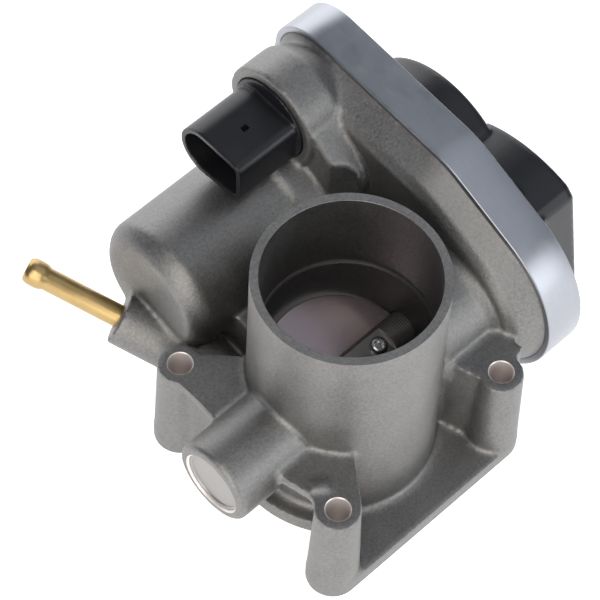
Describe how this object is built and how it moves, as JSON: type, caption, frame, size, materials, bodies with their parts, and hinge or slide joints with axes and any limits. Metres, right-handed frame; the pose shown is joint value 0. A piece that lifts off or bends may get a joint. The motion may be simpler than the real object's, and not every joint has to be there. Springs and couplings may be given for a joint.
{
  "type": "throttle body",
  "caption": "Electronic throttle body: cast housing with a round bore and butterfly plate, geared actuator under a crimped cover, multi-pin connector and brass vacuum nipple.",
  "frame": {"origin": "centre of the bore on the manifold flange's bottom face", "axes": "+Z along the bore towards the inlet spigot, +X along the throttle shaft towards the gear case, +Y towards the motor"},
  "size_m": [0.1188, 0.117, 0.0763],
  "materials": {
    "cast_aluminium": "sand-blasted die casting",
    "bright_aluminium": "satin",
    "band_steel": "satin rolled sheet",
    "steel": "ground",
    "dark_steel": "oiled, dark",
    "zinc_steel": "zinc plated",
    "spring_steel": "oil tempered",
    "plate_brass": "dark, machined",
    "brass": "drawn tube",
    "copper": "bright",
    "tin_plate": "tin plated",
    "ferrite": "sintered",
    "gear_plastic": "moulded",
    "black_plastic": "satin moulded, glass filled",
    "seal_rubber": "matt",
    "circuit_board": "coated"
  },
  "bodies": {
    "casing": {"housing": "cast_aluminium", "vacuum_nipple": "brass", "shaft_end_cap": "bright_aluminium", "bearing_cup_left": "steel", "bearing_needles_left": "steel", "bearing_cup_right": "steel", "bearing_needles_right": "steel", "shaft_seal_left": "seal_rubber", "shaft_seal_right": "seal_rubber", "stop_pins": "steel", "idler_pin": "steel", "motor_can": "zinc_steel", "motor_magnets": "ferrite", "motor_mounting_plate": "zinc_steel", "motor_screws": "zinc_steel", "motor_end_plate": "black_plastic", "motor_brushes": "ferrite", "motor_bushes": "copper", "gear_cover": "black_plastic", "cover_gasket": "seal_rubber", "crimp_band": "band_steel", "sensor_board": "circuit_board", "connector_shell": "black_plastic", "connector_seal": "seal_rubber", "connector_pins": "tin_plate", "motor_leads": "copper"},
    "throttle": {"throttle_shaft": "dark_steel", "throttle_plate": "plate_brass", "plate_screws": "zinc_steel", "sector_gear": "gear_plastic", "sensor_wiper": "copper", "return_spring": "spring_steel", "limp_home_spring": "spring_steel"},
    "idler": {"idler_gear": "gear_plastic"},
    "rotor": {"rotor_shaft": "steel", "rotor_core": "dark_steel", "rotor_windings": "copper", "rotor_commutator": "copper", "motor_pinion": "brass"}
  },
  "joints": [
    {"name": "throttle_turn", "type": "hinge", "parent": "casing", "child": "throttle", "pos_m": [0, 0, 0.0296], "axis": [1, 0, 0], "range_deg": [-10.6, 72.4], "stiffness_Nm_per_rad": 0.02},
    {"name": "idler_turn", "type": "hinge", "parent": "casing", "child": "idler", "pos_m": [0.045, 0.028, 0.0296], "axis": [1, 0, 0], "range_deg": [-280, 60]},
    {"name": "rotor_turn", "type": "hinge", "parent": "casing", "child": "rotor", "pos_m": [0, 0.052, 0.0296], "axis": [1, 0, 0], "range_deg": [-250, 1400]}
  ],
  "couplings": [
    {"joint": "idler_turn", "follows": "throttle_turn", "ratio": -3.6667},
    {"joint": "rotor_turn", "follows": "throttle_turn", "ratio": 18.333}
  ]
}
